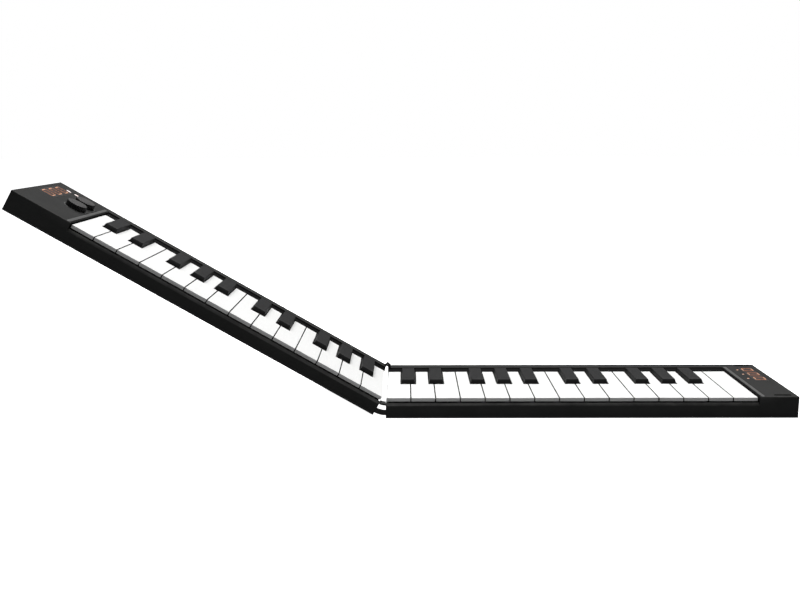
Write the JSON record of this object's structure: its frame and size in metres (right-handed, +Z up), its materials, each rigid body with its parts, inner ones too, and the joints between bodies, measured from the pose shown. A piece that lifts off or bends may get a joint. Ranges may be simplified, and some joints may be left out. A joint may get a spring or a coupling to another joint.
{
  "type": "folding keyboard",
  "caption": "Slim piano keyboard in two halves that fold flat onto each other about a rear hinge, with end panels, displays and two knobs",
  "frame": {"origin": "middle of the right half's flat underside", "axes": "+X along the right half away from the hinge, +Y from the players' edge to the back, +Z up"},
  "size_m": [0.7405, 0.1248, 0.217],
  "materials": {
    "case": "fine matte texture",
    "base": "matte",
    "white_key": "satin gloss",
    "black_key": "fine grain",
    "knob": "grooved soft touch",
    "rubber": "matte",
    "electronics": "solder mask",
    "steel": "brushed"
  },
  "bodies": {
    "right_half": {"right_housing": "case", "right_base_plate": "base", "right_electronics": "electronics", "right_screws_and_pin": "steel", "link_cable": "rubber"},
    "left_half": {"left_housing": "case", "left_base_plate": "base", "left_electronics": "electronics", "left_screws": "steel"},
    "front_knob": {"front_knob": "knob"},
    "rear_knob": {"rear_knob": "knob"},
    "black_key_as2": {"black_key_as2": "black_key"},
    "black_key_as3": {"black_key_as3": "black_key"},
    "black_key_as4": {"black_key_as4": "black_key"},
    "black_key_as5": {"black_key_as5": "black_key"},
    "black_key_cs2": {"black_key_cs2": "black_key"},
    "black_key_cs3": {"black_key_cs3": "black_key"},
    "black_key_cs4": {"black_key_cs4": "black_key"},
    "black_key_cs5": {"black_key_cs5": "black_key"},
    "black_key_ds2": {"black_key_ds2": "black_key"},
    "black_key_ds3": {"black_key_ds3": "black_key"},
    "black_key_ds4": {"black_key_ds4": "black_key"},
    "black_key_ds5": {"black_key_ds5": "black_key"},
    "black_key_fs2": {"black_key_fs2": "black_key"},
    "black_key_fs3": {"black_key_fs3": "black_key"},
    "black_key_fs4": {"black_key_fs4": "black_key"},
    "black_key_fs5": {"black_key_fs5": "black_key"},
    "black_key_gs2": {"black_key_gs2": "black_key"},
    "black_key_gs3": {"black_key_gs3": "black_key"},
    "black_key_gs4": {"black_key_gs4": "black_key"},
    "black_key_gs5": {"black_key_gs5": "black_key"},
    "white_key_a2": {"white_key_a2": "white_key"},
    "white_key_a3": {"white_key_a3": "white_key"},
    "white_key_a4": {"white_key_a4": "white_key"},
    "white_key_a5": {"white_key_a5": "white_key"},
    "white_key_b2": {"white_key_b2": "white_key"},
    "white_key_b3": {"white_key_b3": "white_key"},
    "white_key_b4": {"white_key_b4": "white_key"},
    "white_key_b5": {"white_key_b5": "white_key"},
    "white_key_c2": {"white_key_c2": "white_key"},
    "white_key_c3": {"white_key_c3": "white_key"},
    "white_key_c4": {"white_key_c4": "white_key"},
    "white_key_c5": {"white_key_c5": "white_key"},
    "white_key_c6": {"white_key_c6": "white_key"},
    "white_key_d2": {"white_key_d2": "white_key"},
    "white_key_d3": {"white_key_d3": "white_key"},
    "white_key_d4": {"white_key_d4": "white_key"},
    "white_key_d5": {"white_key_d5": "white_key"},
    "white_key_e2": {"white_key_e2": "white_key"},
    "white_key_e3": {"white_key_e3": "white_key"},
    "white_key_e4": {"white_key_e4": "white_key"},
    "white_key_e5": {"white_key_e5": "white_key"},
    "white_key_f2": {"white_key_f2": "white_key"},
    "white_key_f3": {"white_key_f3": "white_key"},
    "white_key_f4": {"white_key_f4": "white_key"},
    "white_key_f5": {"white_key_f5": "white_key"},
    "white_key_g2": {"white_key_g2": "white_key"},
    "white_key_g3": {"white_key_g3": "white_key"},
    "white_key_g4": {"white_key_g4": "white_key"},
    "white_key_g5": {"white_key_g5": "white_key"}
  },
  "joints": [
    {"name": "fold", "type": "hinge", "parent": "right_half", "child": "left_half", "pos_m": [-0.19545, 0, 0.0237], "axis": [0, 1, 0], "range_deg": [-30.1, 149.9], "deforming": ["link_cable"]},
    {"name": "front_knob_turn", "type": "hinge", "parent": "left_half", "child": "front_knob", "pos_m": [-0.49777, -0.00445, 0.19548], "axis": [0.5015, 0, 0.8652], "range_deg": [-150, 150]},
    {"name": "rear_knob_turn", "type": "hinge", "parent": "left_half", "child": "rear_knob", "pos_m": [-0.49777, 0.01995, 0.19548], "axis": [0.5015, 0, 0.8652], "range_deg": [-150, 150]},
    {"name": "black_as2_press", "type": "hinge", "parent": "left_half", "child": "black_key_as2", "pos_m": [-0.33235, 0.04995, 0.08722], "axis": [0.8652, 0, -0.5015], "range_deg": [0, 2.37], "stiffness_Nm_per_rad": 0.4, "springref_deg": -5.73},
    {"name": "black_as3_press", "type": "hinge", "parent": "left_half", "child": "black_key_as3", "pos_m": [-0.33235, 0.04995, 0.08722], "axis": [0.8652, 0, -0.5015], "range_deg": [0, 2.37], "stiffness_Nm_per_rad": 0.4, "springref_deg": -5.73},
    {"name": "black_as4_press", "type": "hinge", "parent": "right_half", "child": "black_key_as4", "pos_m": [-0.04545, 0.04995, 0.01], "axis": [1, 0, 0], "range_deg": [0, 2.37], "stiffness_Nm_per_rad": 0.4, "springref_deg": -5.73},
    {"name": "black_as5_press", "type": "hinge", "parent": "right_half", "child": "black_key_as5", "pos_m": [-0.04545, 0.04995, 0.01], "axis": [1, 0, 0], "range_deg": [0, 2.37], "stiffness_Nm_per_rad": 0.4, "springref_deg": -5.73},
    {"name": "black_cs2_press", "type": "hinge", "parent": "left_half", "child": "black_key_cs2", "pos_m": [-0.33235, 0.04995, 0.08722], "axis": [0.8652, 0, -0.5015], "range_deg": [0, 2.37], "stiffness_Nm_per_rad": 0.4, "springref_deg": -5.73},
    {"name": "black_cs3_press", "type": "hinge", "parent": "left_half", "child": "black_key_cs3", "pos_m": [-0.33235, 0.04995, 0.08722], "axis": [0.8652, 0, -0.5015], "range_deg": [0, 2.37], "stiffness_Nm_per_rad": 0.4, "springref_deg": -5.73},
    {"name": "black_cs4_press", "type": "hinge", "parent": "right_half", "child": "black_key_cs4", "pos_m": [-0.04545, 0.04995, 0.01], "axis": [1, 0, 0], "range_deg": [0, 2.37], "stiffness_Nm_per_rad": 0.4, "springref_deg": -5.73},
    {"name": "black_cs5_press", "type": "hinge", "parent": "right_half", "child": "black_key_cs5", "pos_m": [-0.04545, 0.04995, 0.01], "axis": [1, 0, 0], "range_deg": [0, 2.37], "stiffness_Nm_per_rad": 0.4, "springref_deg": -5.73},
    {"name": "black_ds2_press", "type": "hinge", "parent": "left_half", "child": "black_key_ds2", "pos_m": [-0.33235, 0.04995, 0.08722], "axis": [0.8652, 0, -0.5015], "range_deg": [0, 2.37], "stiffness_Nm_per_rad": 0.4, "springref_deg": -5.73},
    {"name": "black_ds3_press", "type": "hinge", "parent": "left_half", "child": "black_key_ds3", "pos_m": [-0.33235, 0.04995, 0.08722], "axis": [0.8652, 0, -0.5015], "range_deg": [0, 2.37], "stiffness_Nm_per_rad": 0.4, "springref_deg": -5.73},
    {"name": "black_ds4_press", "type": "hinge", "parent": "right_half", "child": "black_key_ds4", "pos_m": [-0.04545, 0.04995, 0.01], "axis": [1, 0, 0], "range_deg": [0, 2.37], "stiffness_Nm_per_rad": 0.4, "springref_deg": -5.73},
    {"name": "black_ds5_press", "type": "hinge", "parent": "right_half", "child": "black_key_ds5", "pos_m": [-0.04545, 0.04995, 0.01], "axis": [1, 0, 0], "range_deg": [0, 2.37], "stiffness_Nm_per_rad": 0.4, "springref_deg": -5.73},
    {"name": "black_fs2_press", "type": "hinge", "parent": "left_half", "child": "black_key_fs2", "pos_m": [-0.33235, 0.04995, 0.08722], "axis": [0.8652, 0, -0.5015], "range_deg": [0, 2.37], "stiffness_Nm_per_rad": 0.4, "springref_deg": -5.73},
    {"name": "black_fs3_press", "type": "hinge", "parent": "left_half", "child": "black_key_fs3", "pos_m": [-0.33235, 0.04995, 0.08722], "axis": [0.8652, 0, -0.5015], "range_deg": [0, 2.37], "stiffness_Nm_per_rad": 0.4, "springref_deg": -5.73},
    {"name": "black_fs4_press", "type": "hinge", "parent": "right_half", "child": "black_key_fs4", "pos_m": [-0.04545, 0.04995, 0.01], "axis": [1, 0, 0], "range_deg": [0, 2.37], "stiffness_Nm_per_rad": 0.4, "springref_deg": -5.73},
    {"name": "black_fs5_press", "type": "hinge", "parent": "right_half", "child": "black_key_fs5", "pos_m": [-0.04545, 0.04995, 0.01], "axis": [1, 0, 0], "range_deg": [0, 2.37], "stiffness_Nm_per_rad": 0.4, "springref_deg": -5.73},
    {"name": "black_gs2_press", "type": "hinge", "parent": "left_half", "child": "black_key_gs2", "pos_m": [-0.33235, 0.04995, 0.08722], "axis": [0.8652, 0, -0.5015], "range_deg": [0, 2.37], "stiffness_Nm_per_rad": 0.4, "springref_deg": -5.73},
    {"name": "black_gs3_press", "type": "hinge", "parent": "left_half", "child": "black_key_gs3", "pos_m": [-0.33235, 0.04995, 0.08722], "axis": [0.8652, 0, -0.5015], "range_deg": [0, 2.37], "stiffness_Nm_per_rad": 0.4, "springref_deg": -5.73},
    {"name": "black_gs4_press", "type": "hinge", "parent": "right_half", "child": "black_key_gs4", "pos_m": [-0.04545, 0.04995, 0.01], "axis": [1, 0, 0], "range_deg": [0, 2.37], "stiffness_Nm_per_rad": 0.4, "springref_deg": -5.73},
    {"name": "black_gs5_press", "type": "hinge", "parent": "right_half", "child": "black_key_gs5", "pos_m": [-0.04545, 0.04995, 0.01], "axis": [1, 0, 0], "range_deg": [0, 2.37], "stiffness_Nm_per_rad": 0.4, "springref_deg": -5.73},
    {"name": "white_a2_press", "type": "hinge", "parent": "left_half", "child": "white_key_a2", "pos_m": [-0.33235, 0.04995, 0.08722], "axis": [0.8652, 0, -0.5015], "range_deg": [0, 2.37], "stiffness_Nm_per_rad": 0.4, "springref_deg": -5.73},
    {"name": "white_a3_press", "type": "hinge", "parent": "left_half", "child": "white_key_a3", "pos_m": [-0.33235, 0.04995, 0.08722], "axis": [0.8652, 0, -0.5015], "range_deg": [0, 2.37], "stiffness_Nm_per_rad": 0.4, "springref_deg": -5.73},
    {"name": "white_a4_press", "type": "hinge", "parent": "right_half", "child": "white_key_a4", "pos_m": [-0.04545, 0.04995, 0.01], "axis": [1, 0, 0], "range_deg": [0, 2.37], "stiffness_Nm_per_rad": 0.4, "springref_deg": -5.73},
    {"name": "white_a5_press", "type": "hinge", "parent": "right_half", "child": "white_key_a5", "pos_m": [-0.04545, 0.04995, 0.01], "axis": [1, 0, 0], "range_deg": [0, 2.37], "stiffness_Nm_per_rad": 0.4, "springref_deg": -5.73},
    {"name": "white_b2_press", "type": "hinge", "parent": "left_half", "child": "white_key_b2", "pos_m": [-0.33235, 0.04995, 0.08722], "axis": [0.8652, 0, -0.5015], "range_deg": [0, 2.37], "stiffness_Nm_per_rad": 0.4, "springref_deg": -5.73},
    {"name": "white_b3_press", "type": "hinge", "parent": "left_half", "child": "white_key_b3", "pos_m": [-0.33235, 0.04995, 0.08722], "axis": [0.8652, 0, -0.5015], "range_deg": [0, 2.37], "stiffness_Nm_per_rad": 0.4, "springref_deg": -5.73},
    {"name": "white_b4_press", "type": "hinge", "parent": "right_half", "child": "white_key_b4", "pos_m": [-0.04545, 0.04995, 0.01], "axis": [1, 0, 0], "range_deg": [0, 2.37], "stiffness_Nm_per_rad": 0.4, "springref_deg": -5.73},
    {"name": "white_b5_press", "type": "hinge", "parent": "right_half", "child": "white_key_b5", "pos_m": [-0.04545, 0.04995, 0.01], "axis": [1, 0, 0], "range_deg": [0, 2.37], "stiffness_Nm_per_rad": 0.4, "springref_deg": -5.73},
    {"name": "white_c2_press", "type": "hinge", "parent": "left_half", "child": "white_key_c2", "pos_m": [-0.33235, 0.04995, 0.08722], "axis": [0.8652, 0, -0.5015], "range_deg": [0, 2.37], "stiffness_Nm_per_rad": 0.4, "springref_deg": -5.73},
    {"name": "white_c3_press", "type": "hinge", "parent": "left_half", "child": "white_key_c3", "pos_m": [-0.33235, 0.04995, 0.08722], "axis": [0.8652, 0, -0.5015], "range_deg": [0, 2.37], "stiffness_Nm_per_rad": 0.4, "springref_deg": -5.73},
    {"name": "white_c4_press", "type": "hinge", "parent": "right_half", "child": "white_key_c4", "pos_m": [-0.04545, 0.04995, 0.01], "axis": [1, 0, 0], "range_deg": [0, 2.37], "stiffness_Nm_per_rad": 0.4, "springref_deg": -5.73},
    {"name": "white_c5_press", "type": "hinge", "parent": "right_half", "child": "white_key_c5", "pos_m": [-0.04545, 0.04995, 0.01], "axis": [1, 0, 0], "range_deg": [0, 2.37], "stiffness_Nm_per_rad": 0.4, "springref_deg": -5.73},
    {"name": "white_c6_press", "type": "hinge", "parent": "right_half", "child": "white_key_c6", "pos_m": [-0.04545, 0.04995, 0.01], "axis": [1, 0, 0], "range_deg": [0, 2.37], "stiffness_Nm_per_rad": 0.4, "springref_deg": -5.73},
    {"name": "white_d2_press", "type": "hinge", "parent": "left_half", "child": "white_key_d2", "pos_m": [-0.33235, 0.04995, 0.08722], "axis": [0.8652, 0, -0.5015], "range_deg": [0, 2.37], "stiffness_Nm_per_rad": 0.4, "springref_deg": -5.73},
    {"name": "white_d3_press", "type": "hinge", "parent": "left_half", "child": "white_key_d3", "pos_m": [-0.33235, 0.04995, 0.08722], "axis": [0.8652, 0, -0.5015], "range_deg": [0, 2.37], "stiffness_Nm_per_rad": 0.4, "springref_deg": -5.73},
    {"name": "white_d4_press", "type": "hinge", "parent": "right_half", "child": "white_key_d4", "pos_m": [-0.04545, 0.04995, 0.01], "axis": [1, 0, 0], "range_deg": [0, 2.37], "stiffness_Nm_per_rad": 0.4, "springref_deg": -5.73},
    {"name": "white_d5_press", "type": "hinge", "parent": "right_half", "child": "white_key_d5", "pos_m": [-0.04545, 0.04995, 0.01], "axis": [1, 0, 0], "range_deg": [0, 2.37], "stiffness_Nm_per_rad": 0.4, "springref_deg": -5.73},
    {"name": "white_e2_press", "type": "hinge", "parent": "left_half", "child": "white_key_e2", "pos_m": [-0.33235, 0.04995, 0.08722], "axis": [0.8652, 0, -0.5015], "range_deg": [0, 2.37], "stiffness_Nm_per_rad": 0.4, "springref_deg": -5.73},
    {"name": "white_e3_press", "type": "hinge", "parent": "left_half", "child": "white_key_e3", "pos_m": [-0.33235, 0.04995, 0.08722], "axis": [0.8652, 0, -0.5015], "range_deg": [0, 2.37], "stiffness_Nm_per_rad": 0.4, "springref_deg": -5.73},
    {"name": "white_e4_press", "type": "hinge", "parent": "right_half", "child": "white_key_e4", "pos_m": [-0.04545, 0.04995, 0.01], "axis": [1, 0, 0], "range_deg": [0, 2.37], "stiffness_Nm_per_rad": 0.4, "springref_deg": -5.73},
    {"name": "white_e5_press", "type": "hinge", "parent": "right_half", "child": "white_key_e5", "pos_m": [-0.04545, 0.04995, 0.01], "axis": [1, 0, 0], "range_deg": [0, 2.37], "stiffness_Nm_per_rad": 0.4, "springref_deg": -5.73},
    {"name": "white_f2_press", "type": "hinge", "parent": "left_half", "child": "white_key_f2", "pos_m": [-0.33235, 0.04995, 0.08722], "axis": [0.8652, 0, -0.5015], "range_deg": [0, 2.37], "stiffness_Nm_per_rad": 0.4, "springref_deg": -5.73},
    {"name": "white_f3_press", "type": "hinge", "parent": "left_half", "child": "white_key_f3", "pos_m": [-0.33235, 0.04995, 0.08722], "axis": [0.8652, 0, -0.5015], "range_deg": [0, 2.37], "stiffness_Nm_per_rad": 0.4, "springref_deg": -5.73},
    {"name": "white_f4_press", "type": "hinge", "parent": "right_half", "child": "white_key_f4", "pos_m": [-0.04545, 0.04995, 0.01], "axis": [1, 0, 0], "range_deg": [0, 2.37], "stiffness_Nm_per_rad": 0.4, "springref_deg": -5.73},
    {"name": "white_f5_press", "type": "hinge", "parent": "right_half", "child": "white_key_f5", "pos_m": [-0.04545, 0.04995, 0.01], "axis": [1, 0, 0], "range_deg": [0, 2.37], "stiffness_Nm_per_rad": 0.4, "springref_deg": -5.73},
    {"name": "white_g2_press", "type": "hinge", "parent": "left_half", "child": "white_key_g2", "pos_m": [-0.33235, 0.04995, 0.08722], "axis": [0.8652, 0, -0.5015], "range_deg": [0, 2.37], "stiffness_Nm_per_rad": 0.4, "springref_deg": -5.73},
    {"name": "white_g3_press", "type": "hinge", "parent": "left_half", "child": "white_key_g3", "pos_m": [-0.33235, 0.04995, 0.08722], "axis": [0.8652, 0, -0.5015], "range_deg": [0, 2.37], "stiffness_Nm_per_rad": 0.4, "springref_deg": -5.73},
    {"name": "white_g4_press", "type": "hinge", "parent": "right_half", "child": "white_key_g4", "pos_m": [-0.04545, 0.04995, 0.01], "axis": [1, 0, 0], "range_deg": [0, 2.37], "stiffness_Nm_per_rad": 0.4, "springref_deg": -5.73},
    {"name": "white_g5_press", "type": "hinge", "parent": "right_half", "child": "white_key_g5", "pos_m": [-0.04545, 0.04995, 0.01], "axis": [1, 0, 0], "range_deg": [0, 2.37], "stiffness_Nm_per_rad": 0.4, "springref_deg": -5.73}
  ]
}
